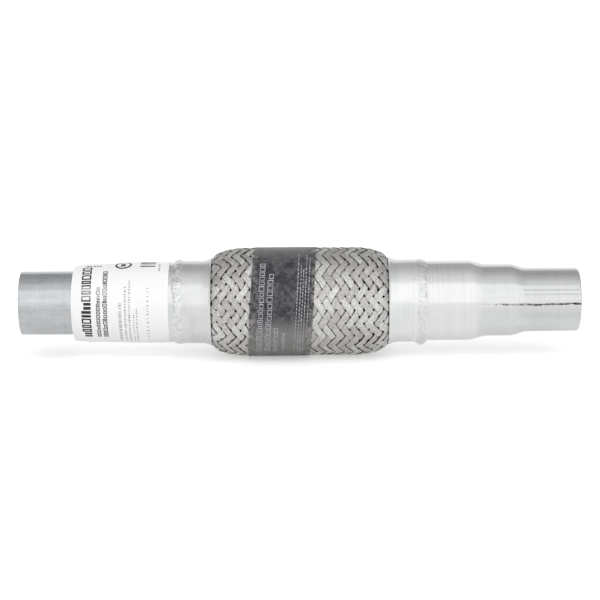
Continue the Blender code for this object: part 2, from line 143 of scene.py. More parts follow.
# Weld beads and spatter
BEAD_FOOT = 26.0 * MM
BEAD_FOOT_FALL = 0.95 * MM
BEAD_INSET = 1.0 * MM
BEAD_SINK = 0.1 * MM
BEAD_HEIGHT = 0.5 * MM
RIPPLE_SPACING = 2.3 * MM
RIPPLE_HEIGHT = 0.12 * MM

# Sheets wrapped round the pipe, and their print. INK_SEAT is how far up a sheet's waves it lies.
WRAP_START = math.radians(188)
WRAP_LAP = math.radians(20)
CUT_OUT_OF_SQUARE = 0.7 * MM
INK_THICKNESS = 0.03 * MM
INK_SINK = 0.05 * MM
INK_SEAT = 0.8

# Label: its profile is (place along the pipe, inside radius) from its outer edge inwards. The
# first part is in millimetres, counted from that edge. The last value below is the stretch of the
# heavy rows, in degrees, printed in grey ink: a painted reflection of the front lamp on the print.
PAPER_THICKNESS = 0.2 * MM
PAPER_WAVE = 0.1 * MM
LABEL_EDGE_PROFILE = ((0, 22.25), (2.3, 22.9), (5.0, 23.4), (8.6, 24.0))
LABEL_CONE_PROFILE = ((-117.5 * MM, 24.4 * MM), (-LARGE_END, 25.06 * MM))
LABEL_SNUG_RADIUS = 25.12 * MM
LABEL_SAG = 1.3 * MM
LABEL_LIFT = 0.3 * LABEL_SAG
LABEL_LOOSE_LENGTH = 9 * MM
REFLECTION_BAND = (15, 34)

# Film
FILM_THICKNESS = 0.2 * MM
FILM_WAVE = 0.08 * MM
FILM_SKEW = 0.06
FILM_EDGE_LIFT = 0.1 * MM
FILM_LIFT_LENGTH = 3 * MM
FILM_STROKE = 0.34 * MM

# Studio
FLOOR_REACH = 60.0
ROOM_BEHIND = 0.5
ROOM_FRONT = 0.95
FLOOR_GLOW = 0.38
MIRRORED_GLOW = 0.28

# View
CAMERA_DISTANCE = 1.2
CAMERA_ELEVATION = 10.0
CAMERA_ROLL = 0.41
CAMERA_LENS = 114.2
AIM = (0.1 * MM, 0.0, 0.8 * MM)

random_source = np.random.default_rng(7)


def linear(hex_colour):
    """An sRGB hex colour as the linear values that a shader takes."""
    channels = [int(hex_colour[k:k + 2], 16) / 255 for k in (1, 3, 5)]
    return tuple(c / 12.92 if c <= 0.04045 else ((c + 0.055) / 1.055) ** 2.4 for c in channels) + (1.0,)


def fill_inputs(tree, node, inputs):
    """Sets inputs of a node, each to a value or to a link from another node's output."""
    for name, value in inputs.items():
        if isinstance(value, bpy.types.NodeSocket):
            tree.links.new(value, node.inputs[name])
        else:
            node.inputs[name].default_value = value


def add_node(tree, kind, inputs, stops=(), **settings):
    """Adds a node with its settings, its inputs, and a ramp's (position, hex colour) stops."""
    node = tree.nodes.new(kind)
    for name, value in settings.items():
        setattr(node, name, value)
    fill_inputs(tree, node, inputs)
    for _ in stops[2:]:
        node.color_ramp.elements.new(1.0)
    for k, (position, colour) in enumerate(stops):
        node.color_ramp.elements[k].position = position
        node.color_ramp.elements[k].color = linear(colour)
    return node


def new_material(name):
    """A material with its node tree and its Principled shader."""
    material = bpy.data.materials.new(name)
    material.use_nodes = True
    return material, material.node_tree, material.node_tree.nodes["Principled BSDF"]


def mottle(tree, scale, detail, stops, roughness=0.5):
    """Noise over the whole piece, and the colours that a ramp gives it."""
    place = add_node(tree, "ShaderNodeTexCoord", {}).outputs["Object"]
    noise = add_node(
        tree,
        "ShaderNodeTexNoise",
        {"Vector": place, "Scale": scale, "Detail": detail, "Roughness": roughness},
    ).outputs["Fac"]
    return noise, add_node(tree, "ShaderNodeValToRGB", {"Fac": noise}, stops).outputs["Color"]


def aluminised_tube(name, sections, blotch, contrast, drawing):
    """Aluminised mild steel tube, swaged down over a mandrel in steps.

    The hot-dipped skin is a bright, slightly soft mirror with pale blotches of 2 to 4 mm. Each
    step was worked further, so it is duller; its colour comes from the distance to the axis. The
    mandrel leaves fine streaks round the tube, and the jaws faint ones along its small end. The
    sections' colours go from the small one to the large one.
    """
    material, tree, shader = new_material(name)
    place = add_node(tree, "ShaderNodeTexCoord", {}).outputs["Object"]
    square = add_node(
        tree, "ShaderNodeVectorMath", {0: place, 1: (0, 1, 1)}, operation="MULTIPLY"
    ).outputs["Vector"]
    off_axis = add_node(
        tree, "ShaderNodeVectorMath", {0: square}, operation="LENGTH"
    ).outputs["Value"]
    worked = add_node(
        tree,
        "ShaderNodeMapRange",
        {"Value": off_axis, "From Min": SMALL_RADIUS, "From Max": LARGE_RADIUS},
    ).outputs["Result"]
    small, medium, large = sections
    stops = [(0.08, small), (0.46, medium), (0.54, medium), (0.92, large)]
    skin = add_node(tree, "ShaderNodeValToRGB", {"Fac": worked}, stops).outputs["Color"]

    noises = {}
    for kind, scale, detail in (
        ("streaks", (900, 14, 14), 4.0),
        ("blotches", (230, 330, 330), 5.0),
        ("clouds", (60, 90, 90), 3.0),
        ("jaw_lines", (7, 260, 260), 3.0),
        ("grain", (1400, 1400, 1400), 2.0),
    ):
        stretched = add_node(
            tree, "ShaderNodeMapping", {"Vector": place, "Scale": scale}
        ).outputs["Vector"]
        noises[kind] = add_node(
            tree,
            "ShaderNodeTexNoise",
            {"Vector": stretched, "Scale": 1.0, "Detail": detail, "Roughness": 0.6},
        ).outputs["Fac"]
    spangle = add_node(
        tree,
        "ShaderNodeMix",
        {"Factor": 0.5, "A": noises["blotches"], "B": noises["clouds"]},
        data_type="FLOAT",
    ).outputs["Result"]
    mottling = add_node(
        tree,
        "ShaderNodeMix",
        {"Factor": blotch, "A": noises["streaks"], "B": spangle},
        data_type="FLOAT",
    ).outputs["Result"]
    shade = add_node(
        tree,
        "ShaderNodeMapRange",
        {
            "Value": mottling,
            "From Min": 0.35,
            "From Max": 0.65,
            "To Min": 1 - contrast,
            "To Max": 1 + contrast / 2,
        },
        clamp=False,
    ).outputs["Result"]
    jaw_shade = add_node(
        tree,
        "ShaderNodeMapRange",
        {
            "Value": noises["jaw_lines"],
            "From Min": 0.38,
            "From Max": 0.62,
            "To Min": 0.91,
            "To Max": 1.03,
        },
    ).outputs["Result"]
    jaw_reach = add_node(
        tree,
        "ShaderNodeMix",
        {"Factor": worked, "A": jaw_shade, "B": 1.0},
        data_type="FLOAT",
    ).outputs["Result"]
    both = add_node(
        tree, "ShaderNodeMath", {0: shade, 1: jaw_reach}, operation="MULTIPLY"
    ).outputs["Value"]
    colour = add_node(
        tree,
        "ShaderNodeVectorMath",
        {0: skin, 1: both},
        operation="MULTIPLY",
    ).outputs["Vector"]
    roughness = add_node(
        tree,
        "ShaderNodeMapRange",
        {"Value": mottling, "From Min": 0.3, "From Max": 0.7, "To Min": 0.13, "To Max": 0.23},
    ).outputs["Result"]
    grained = add_node(
        tree, "ShaderNodeBump", {"Height": noises["grain"], "Strength": 0.03, "Distance": 0.0001}
    ).outputs["Normal"]
    drawn = add_node(
        tree,
        "ShaderNodeBump",
        {"Height": noises["streaks"], "Strength": drawing, "Distance": 0.0002, "Normal": grained},
    ).outputs["Normal"]
    fill_inputs(
        tree, shader, {"Base Color": colour, "Roughness": roughness, "Normal": drawn, "Metallic": 1.0}
    )
    return material


def seam_scale():
    """Scale in the lengthwise resistance weld: dark grey oxide, broken near the large section."""
    material, tree, shader = new_material("resistance_weld_scale")
    place = add_node(tree, "ShaderNodeTexCoord", {}).outputs["Object"]
    flecks = add_node(
        tree, "ShaderNodeTexNoise", {"Vector": place, "Scale": 420.0, "Detail": 4.0, "Roughness": 0.7}
    ).outputs["Fac"]
    along = add_node(tree, "ShaderNodeSeparateXYZ", {"Vector": place}).outputs["X"]
    reach = add_node(tree, "ShaderNodeMath", {0: along}, operation="ABSOLUTE").outputs["Value"]
    worn = add_node(
        tree,
        "ShaderNodeMapRange",
        {
            "Value": reach,
            "From Min": LARGE_END,
            "From Max": SCALE_FULL_FROM,
            "To Min": 0.42,
            "To Max": 0.0,
        },
    ).outputs["Result"]
    bare = add_node(
        tree, "ShaderNodeMath", {0: flecks, 1: worn}, operation="ADD"
    ).outputs["Value"]
    colour = add_node(
        tree,
        "ShaderNodeValToRGB",
        {"Fac": bare},
        [(0.42, "#3F3D3B"), (0.6, "#7C7A77"), (0.85, "#D8D9DA")],
    ).outputs["Color"]
    fill_inputs(tree, shader, {"Base Color": colour, "Metallic": 1.0, "Roughness": 0.4})
    return material


def spun_stainless(name, dull, plain, bright):
    """Stainless steel sheet, spun into a collar: smooth and pale, with faint rings from the tool."""
    material, tree, shader = new_material(name)
    place = add_node(tree, "ShaderNodeTexCoord", {}).outputs["Object"]
    ringed = add_node(
        tree, "ShaderNodeMapping", {"Vector": place, "Scale": (420, 9, 9)}
    ).outputs["Vector"]
    rings = add_node(
        tree, "ShaderNodeTexNoise", {"Vector": ringed, "Scale": 1.0, "Detail": 3.0}
    ).outputs["Fac"]
    smudges = add_node(
        tree, "ShaderNodeTexNoise", {"Vector": place, "Scale": 95.0, "Detail": 4.0}
    ).outputs["Fac"]
    mixed = add_node(
        tree, "ShaderNodeMix", {"Factor": 0.6, "A": rings, "B": smudges}, data_type="FLOAT"
    ).outputs["Result"]
    colour = add_node(
        tree,
        "ShaderNodeValToRGB",
        {"Fac": mixed},
        [(0.32, dull), (0.5, plain), (0.68, bright)],
    ).outputs["Color"]
    bump = add_node(
        tree, "ShaderNodeBump", {"Height": rings, "Strength": 0.025, "Distance": 0.0002}
    ).outputs["Normal"]
    fill_inputs(
        tree, shader, {"Base Color": colour, "Normal": bump, "Metallic": 1.0, "Roughness": 0.25}
    )
    return material


def braided_wire(name, dull, plain, bright):
    """Stainless wire, drawn bright and slightly warm, with dull patches of 1 mm where it rubbed."""
    material, tree, shader = new_material(name)
    rubbed, colour = mottle(tree, 800.0, 2.0, [(0.36, dull), (0.5, plain), (0.64, bright)])
    roughness = add_node(
        tree,
        "ShaderNodeMapRange",
        {"Value": rubbed, "From Min": 0.3, "From Max": 0.7, "To Min": 0.48, "To Max": 0.38},
    ).outputs["Result"]
    fill_inputs(tree, shader, {"Base Color": colour, "Roughness": roughness, "Metallic": 1.0})
    return material


def flank_painted_shade():
    """Near black on the strands' flanks and backs: painted shade, for the dark lines at their edges."""
    material, tree, shader = new_material("strand_flank_painted_shade")
    _, colour = mottle(tree, 500.0, 3.0, [(0.35, "#1B1A19"), (0.65, "#34322F")])
    fill_inputs(tree, shader, {"Base Color": colour, "Roughness": 0.7})
    return material


def rippled_weld(name, oxide_shade, pitting):
    """Arc-welded steel: frozen ripples, bright on their crests and greyer with oxide between."""
    material, tree, shader = new_material(name)
    stops = [(0.32, oxide_shade), (0.5, "#D8D9DA"), (0.68, "#E4E4E4")]
    oxide, colour = mottle(tree, 480.0, 5.0, stops, roughness=0.65)
    bump = add_node(
        tree, "ShaderNodeBump", {"Height": oxide, "Strength": pitting, "Distance": 0.0002}
    ).outputs["Normal"]
    fill_inputs(
        tree, shader, {"Base Color": colour, "Normal": bump, "Metallic": 1.0, "Roughness": 0.27}
    )
    return material


def bellows_painted_shade():
    """Stainless sheet of the bellows, hydroformed, coloured near black as painted shade for the braid's
    gaps.
    """
    material, tree, shader = new_material("bellows_sheet_painted_shade")
    _, colour = mottle(tree, 80.0, 3.0, [(0.35, "#161515"), (0.65, "#242321")])
    fill_inputs(tree, shader, {"Base Color": colour, "Metallic": 1.0, "Roughness": 0.45})
    return material


def coated_paper():
    """White coated label paper: matt, with a faint fibre cloud and a slight satin coat."""
    material, tree, shader = new_material("coated_label_paper")
    fibres, colour = mottle(tree, 420.0, 4.0, [(0.3, "#F8F8F8"), (0.7, "#FDFDFD")])
    bump = add_node(
        tree, "ShaderNodeBump", {"Height": fibres, "Strength": 0.06, "Distance": 0.0001}
    ).outputs["Normal"]
    fill_inputs(
        tree,
        shader,
        {
            "Base Color": colour,
            "Normal": bump,
            "Roughness": 0.5,
            "Coat Weight": 0.6,
            "Coat Roughness": 0.3,
        },
    )
    return material


def ribbon_ink(name, pale, dark):
    """Wax and resin ink from a transfer ribbon: thin, a little uneven, with a slight gloss."""
    material, tree, shader = new_material(name)
    _, colour = mottle(tree, 350.0, 3.0, [(0.35, dark), (0.7, pale)])
    fill_inputs(
        tree,
        shader,
        {
            "Base Color": colour,
            "Roughness": 0.45,
            "Specular IOR Level": 0.3,
            "Coat Weight": 0.2,
            "Coat Roughness": 0.15,
        },
    )
    return material


def smoked_film(low, high):
    """Smoke-grey polyester film, printed and stretched round the braid.

    It shows the strands faintly, more so towards its edges, and is hazed in clouds. Its colour is
    paler towards its top and over its lower half, and darkest in a band from the axis to about
    25 mm up: painted light and shade.
    """
    material, tree, shader = new_material("smoked_polyester_film")
    place = add_node(tree, "ShaderNodeTexCoord", {}).outputs["Object"]
    cloud = add_node(
        tree,
        "ShaderNodeTexNoise",
        {"Vector": place, "Scale": 260.0, "Detail": 6.0, "Roughness": 0.8},
    ).outputs["Fac"]
    height = add_node(tree, "ShaderNodeSeparateXYZ", {"Vector": place}).outputs["Z"]
    # Painted light and shade by height: paler away from a band round 12 mm above the axis.
    above = add_node(
        tree, "ShaderNodeMath", {0: height, 1: 12 * MM}, operation="SUBTRACT"
    ).outputs["Value"]
    turned_away = add_node(tree, "ShaderNodeMath", {0: above}, operation="ABSOLUTE").outputs["Value"]
    painted_light_by_height = add_node(
        tree,
        "ShaderNodeMapRange",
        {"Value": turned_away, "From Min": 13 * MM, "From Max": 30 * MM, "To Min": 0.0, "To Max": 0.36},
        interpolation_type="SMOOTHSTEP",
    ).outputs["Result"]
    haze_and_painted_light = add_node(tree, "ShaderNodeMath", {0: cloud, 1: painted_light_by_height}, operation="ADD").outputs["Value"]
    colour = add_node(
        tree,
        "ShaderNodeValToRGB",
        {"Fac": haze_and_painted_light},
        [(0.42, "#272429"), (0.5, "#454248"), (0.58, "#636064"), (0.9, "#9A9996")],
    ).outputs["Color"]
    along = add_node(
        tree, "ShaderNodeVectorMath", {0: place, 1: (1, 0, -FILM_SKEW)}, operation="DOT_PRODUCT"
    ).outputs["Value"]
    off_centre = add_node(
        tree, "ShaderNodeMath", {0: along, 1: (low.x + high.x) / 2}, operation="SUBTRACT"
    ).outputs["Value"]
    away = add_node(tree, "ShaderNodeMath", {0: off_centre}, operation="ABSOLUTE").outputs["Value"]
    thin_edge = add_node(
        tree,
        "ShaderNodeMapRange",
        {"Value": away, "From Min": 12 * MM, "From Max": 18.5 * MM, "To Min": 0.0, "To Max": 0.34},
        interpolation_type="SMOOTHSTEP",
    ).outputs["Result"]
    cover = add_node(
        tree,
        "ShaderNodeMapRange",
        {"Value": cloud, "From Min": 0.42, "From Max": 0.58, "To Min": 0.86, "To Max": 0.56},
    ).outputs["Result"]
    alpha = add_node(
        tree, "ShaderNodeMath", {0: cover, 1: thin_edge}, operation="SUBTRACT"
    ).outputs["Value"]
    bump = add_node(
        tree, "ShaderNodeBump", {"Height": cloud, "Strength": 0.35, "Distance": 0.0004}
    ).outputs["Normal"]
    fill_inputs(
        tree, shader, {"Base Color": colour, "Alpha": alpha, "Normal": bump, "Roughness": 0.36}
    )
    return material


def screen_ink():
    """Pale screen ink on the film, thin enough for the smoke colour to dull it."""
    material, tree, shader = new_material("pale_screen_ink")
    _, colour = mottle(tree, 300.0, 3.0, [(0.35, "#9A979D"), (0.65, "#C6C3C9")])
    fill_inputs(tree, shader, {"Base Color": colour, "Roughness": 0.4})
    return material


def front_ring(x, radius, angle):
    """Points at a place along the axis, a radius, and an angle up from straight ahead."""
    x, radius, angle = np.broadcast_arrays(x, radius, angle)
    return np.stack((x, -radius * np.cos(angle), radius * np.sin(angle)), axis=-1)


def grid_faces(rows, columns, start, closed):
    """Quads of a grid that is closed across its columns, and along its rows if closed."""
    i = np.arange(rows if closed else rows - 1)[:, None]
    j = np.arange(columns)[None, :]
    following_i, following_j = (i + 1) % rows, (j + 1) % columns
    quads = np.stack(
        np.broadcast_arrays(
            start + i * columns + j,
            start + i * columns + following_j,
            start + following_i * columns + following_j,
            start + following_i * columns + j,
        ),
        axis=-1,
    ).reshape(-1, 4)
    faces = quads.tolist()
    if not closed:
        faces.append(list(range(start, start + columns)))
        last = start + (rows - 1) * columns
        faces.append(list(range(last + columns - 1, last - 1, -1)))
    return faces


def add_object(name, data):
    """An object that holds a mesh, a lamp or a camera, linked into the scene."""
    holder = bpy.data.objects.new(name, data)
    bpy.context.scene.collection.objects.link(holder)
    return holder


def closed_piece(name, grids, materials, masks=None, closed=False, sharp_from=50.0):
    """One object from grids of points, each a closed tube with end faces, or a closed ring.

    A grid's mask gives the number of the material that each of its quads takes.
    """
    points, faces, numbers = [], [], []
    start = 0
    for k, grid in enumerate(grids):
        rows, columns, _ = grid.shape
        found = grid_faces(rows, columns, start, closed)
        chosen = np.zeros(len(found), dtype=np.int32)
        if masks is not None:
            chosen[:rows * columns] = masks[k].ravel()[:len(found)]
        points.append(grid.reshape(-1, 3))
        faces += found
        numbers.append(chosen)
        start += rows * columns
    mesh = bpy.data.meshes.new(name)
    mesh.from_pydata(np.concatenate(points).tolist(), [], faces)
    for material in materials:
        mesh.materials.append(material)
    mesh.polygons.foreach_set("material_index", np.concatenate(numbers))
    bm = bmesh.new()
    bm.from_mesh(mesh)
    bmesh.ops.recalc_face_normals(bm, faces=bm.faces[:])
    bm.to_mesh(mesh)
    bm.free()
    mesh.shade_smooth()
    mesh.set_sharp_from_angle(angle=math.radians(sharp_from))
    piece = add_object(name, mesh)
    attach(piece, "root")
    return piece


def wander(places, waves, size):
    """A smooth seeded curve over places: a few sines of random length and phase."""
    total = np.zeros(places.size)
    for _ in range(waves):
        wavelength = random_source.uniform(2.8, 12)
        phase = random_source.uniform(0, 2 * math.pi)
        total += np.sin(places * 2 * math.pi / wavelength + phase)
    return total * size / math.sqrt(waves)


def smooth_step(value):
    """A soft rise from 0 to 1 while the value goes from 0 to 1."""
    value = np.clip(value, 0, 1)
    return value * value * (3 - 2 * value)


def weave_height(place):
    """1 where a strand lies on top and -1 where it dives: two crossings of each, in turn."""
    float_middle = 1 - np.abs(np.mod(place + 0.5, 4.0) - 2)
    step = smooth_step(float_middle / WEAVE_STEP + 0.5)
    sag = 1 - np.clip(np.abs(float_middle), 0, 1)
    return (2 * step - 1) * (1 - FLOAT_SAG * sag ** 2)


class BraidShape:
    """The surface that the outer braid's crowns lie on, between the two collars' lips."""

    def __init__(self):
        self.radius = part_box("outer_braid")[1].z
        self.lip_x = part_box("outlet_collar")[0].x
        self.mouth = COLLAR_RADIUS + FLARE_RISE - COLLAR_WALL - LIP_GAP
        self.end_radius = self.mouth - FLARE_RISE

    def column_x(self, column):
        """Place along the pipe; the columns are bunched a little towards its middle."""
        share = column / WEAVE_COLUMNS
        inside = np.clip(share, -1, 1)
        beyond = share - inside
        spread = 1 - WEAVE_BUNCHING + WEAVE_BUNCHING * inside * inside
        return self.lip_x * (inside * spread + beyond)

    def crown(self, x):
        """Radius of the crowns: an elliptical shoulder down to the lip, then the flare's cone."""
        away = np.abs(x)
        past = np.clip((away - (self.lip_x - BRAID_SHOULDER)) / BRAID_SHOULDER, 0, 1)
        rise = np.sqrt(np.clip(1 - past ** 2, 0, 1))
        under = np.clip((away - self.lip_x) / FLARE_LENGTH, 0, 1)
        return self.mouth + (self.radius - self.mouth) * rise - (self.mouth - self.end_radius) * under

    def surface(self, x, drop, angle):
        """Points that lie below the crowns' surface by drop, measured square to it."""
        step = 0.05 * MM
        slope = (self.crown(x + step) - self.crown(x - step)) / (2 * step)
        norm = np.sqrt(1 + slope ** 2)
        return front_ring(x + drop * slope / norm, self.crown(x) - drop / norm, angle)


def outer_strand(shape, lean, index):
    """One flat strand of wires, woven two over and two under, from collar to collar.

    Its place is kept in half columns along the pipe and half rows round it. A strand bends along
    the edges of those that it crosses, so its height depends on its place along itself alone. It
    is squeezed narrower towards the collars.
    """
    reach = WEAVE_COLUMNS + 1
    column = (np.arange(-reach, reach)[:, None] + np.array(COLUMN_SAMPLES)[None, :]).ravel()
    row = index + lean * column
    squeezed = smooth_step((np.abs(shape.column_x(column)) - SQUEEZE_START) / SQUEEZE_LENGTH)
    spool = random_source.normal(0, SPOOL_SPREAD)
    half_width = STRAND_HALF_WIDTH + spool - STRAND_SQUEEZE * squeezed
    half_width = half_width + wander(column, 4, WIDTH_WANDER)
    side = wander(column, 4, SIDE_WANDER)
    lift = wander(column, 5, LIFT_WANDER)
    place = row + 1 + lean
    number = np.floor((place + 0.5) / 4).astype(int) % FLOATS
    roll = random_source.normal(0, FLOAT_TILT, FLOATS)[number] - lean * STRAND_ROLL

    across = np.linspace(-1, 1, 2 * WIRES_IN_STRAND + 1)
    groove = np.where(np.arange(across.size) % 2, 0.0, WIRE_GROOVE)
    wire_lift = random_source.normal(0, WIRE_LIFT, across.size)
    edge = STRAND_ROUNDING * across ** 6
    lateral = np.concatenate((across, STRAND_BACK))
    back = np.full(len(STRAND_BACK), STRAND_THICKNESS)
    profile = np.concatenate((groove + edge + wire_lift, back))

    offset = side[:, None] + half_width[:, None] * lateral[None, :]
    x = shape.column_x(column[:, None] - lean * offset)
    near_lip = smooth_step((np.abs(x) - (shape.lip_x - LIP_REACH)) / LIP_REACH)
    height = weave_height(place)
    dive = STRAND_DIVE * (1 - LIP_FLATTENING * near_lip) * (1 - height[:, None]) / 2
    unevenness = (lift[:, None] + roll[:, None] * lateral[None, :]) * (1 - near_lip)
    drop = np.maximum(dive + unevenness + CROWN_DEPTH, 0.0) + profile[None, :]
    angle = math.pi - (row[:, None] + offset) * math.pi / STRANDS
    # Each float takes one of the three wire tones at random: painted glint and painted shade for how
    # its wires catch the light.
    shade = random_source.integers(1, 4, FLOATS)[number]
    # The flanks and back take material 0, the painted shade; the top takes the float's tone.
    mask = np.where(np.arange(lateral.size) < 2 * WIRES_IN_STRAND, shade[:, None], 0)
    return shape.surface(x, drop, angle), mask


def crease_grooves(piece, columns, last):
    """Marks the grooves between the wires as sharp, so that each wire shades as a round one.

    A strand's grid is so many columns wide, and its back starts after the last wire's column.
    """
    edges = piece.data.edges
    ends = np.empty(2 * len(edges), dtype=np.int32)
    edges.foreach_get("vertices", ends)
    sharp = np.empty(len(edges), dtype=bool)
    edges.foreach_get("use_edge_sharp", sharp)
    column = ends.reshape(-1, 2) % columns
    in_groove = (column[:, 0] == column[:, 1]) & (column[:, 0] % 2 == 1) & (column[:, 0] < last)
    edges.foreach_set("use_edge_sharp", sharp | in_groove)


def build_outer_braid(materials):
    """Twenty-four strands each way, in pieces that each hold a part of both.

    The first material is painted shade on the strands' flanks; the others are the wire in three
    tones, painted glint and painted shade picked per float.
    """
    shape = BraidShape()
    strands = []
    for k in range(STRANDS):
        strands.append(outer_strand(shape, -1, 2 * k + 1))
        strands.append(outer_strand(shape, 1, 2 * k + 1))
    share = len(strands) // BRAID_PIECES
    for k in range(BRAID_PIECES):
        grids, masks = zip(*strands[k * share:(k + 1) * share])
        piece = closed_piece(f"outer_braid_strands_{k + 1}", grids, materials, masks)
        crease_grooves(piece, grids[0].shape[1], 2 * WIRES_IN_STRAND)
        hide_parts("outer_braid")


def build_inner_braid(wire):
    """The liner in the bore, woven more coarsely, one over and one under."""
    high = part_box("inner_braid")[1]
    middle = high.z - LINER_DEPTH / 2
    across = np.linspace(-1, 1, 2 * LINER_WIRES + 1)
    groove = np.where(np.arange(across.size) % 2, 0.0, LINER_GROOVE)
    column = np.linspace(0, LINER_COLUMNS, 3 * LINER_COLUMNS)
    strands = []
    for lean in (-1, 1):
        for k in range(LINER_STRANDS):
            row = 2 * k + 1 + lean * column
            wave = lean * np.cos(math.pi * (row + 0.5))[:, None] * LINER_WAVE
            offset = LINER_HALF_WIDTH * across[None, :]
            angle = (row[:, None] + offset) * math.pi / LINER_STRANDS
            share = (column[:, None] - lean * offset) / LINER_COLUMNS
            x = high.x * np.clip(2 * share - 1, -1, 1)
            face_radius = middle + wave - LINER_HALF_THICKNESS + groove[None, :]
            face = front_ring(x, face_radius, angle)
            back = front_ring(x, middle + wave + LINER_HALF_THICKNESS, angle)[:, ::-1]
            strands.append(np.concatenate((face, back), axis=1))
    piece = closed_piece("inner_braid_strands", strands, [wire])
    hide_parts("inner_braid")


def side_name(side, part):
    """Name of a part on the outlet's side (1) or the inlet's (-1)."""
    return ("outlet_" if side > 0 else "inlet_") + part


def span(name, side):
    """Where a node starts and ends along the pipe, counted outwards from the middle."""
    low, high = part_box(name)
    return (low.x, high.x) if side > 0 else (-high.x, -low.x)


def tube_radius(x):
    """Outside radius of a stepped pipe at a distance x from the middle of the whole pipe."""
    first = smooth_step((x - LARGE_END + TAPER_LEAD) / TAPER_LENGTH)
    second = smooth_step((x - MEDIUM_END + TAPER_LEAD) / TAPER_LENGTH)
    large_drop = LARGE_RADIUS - MEDIUM_RADIUS
    small_drop = MEDIUM_RADIUS - SMALL_RADIUS
    return LARGE_RADIUS - large_drop * first - small_drop * second


def tube_profile(start, end, rounded_mouth):
    """Places along a stepped pipe and its outside radius there, with its mouth."""
    stations = np.concatenate(
        (
            [start, start + 0.3 * MM],
            np.arange(start + 4 * MM, LARGE_END - 2 * MM, 4 * MM),
            np.arange(LARGE_END - 1 * MM, LARGE_END + TAPER_LENGTH, 0.8 * MM),
            np.arange(LARGE_END + TAPER_LENGTH + 1.5 * MM, MEDIUM_END - 2 * MM, 1.5 * MM),
            np.arange(MEDIUM_END - 1 * MM, MEDIUM_END + TAPER_LENGTH, 0.8 * MM),
            np.arange(MEDIUM_END + TAPER_LENGTH + 1 * MM, end - 3 * MM, 1.2 * MM),
        )
    )
    if rounded_mouth:
        turn = np.linspace(0, math.pi / 2, 7)
        lip_x = end - MOUTH_ROUNDING + MOUTH_ROUNDING * np.sin(turn)
        lip_drop = MOUTH_ROUNDING / 2 * (1 - np.cos(turn))
    else:
        lip_x = np.array([end - 1.0 * MM, end - MOUTH_CHAMFER, end])
        lip_drop = np.array([0.0, 0.0, MOUTH_CHAMFER])
    return (
        np.concatenate((stations, lip_x)),
        np.concatenate((tube_radius(stations), SMALL_RADIUS - lip_drop)),
    )


def furrow(arc, half_width, depth):
    """Depth of a rounded groove at a distance along the surface from its middle."""
    return depth * np.exp(-((arc / half_width) ** 2))


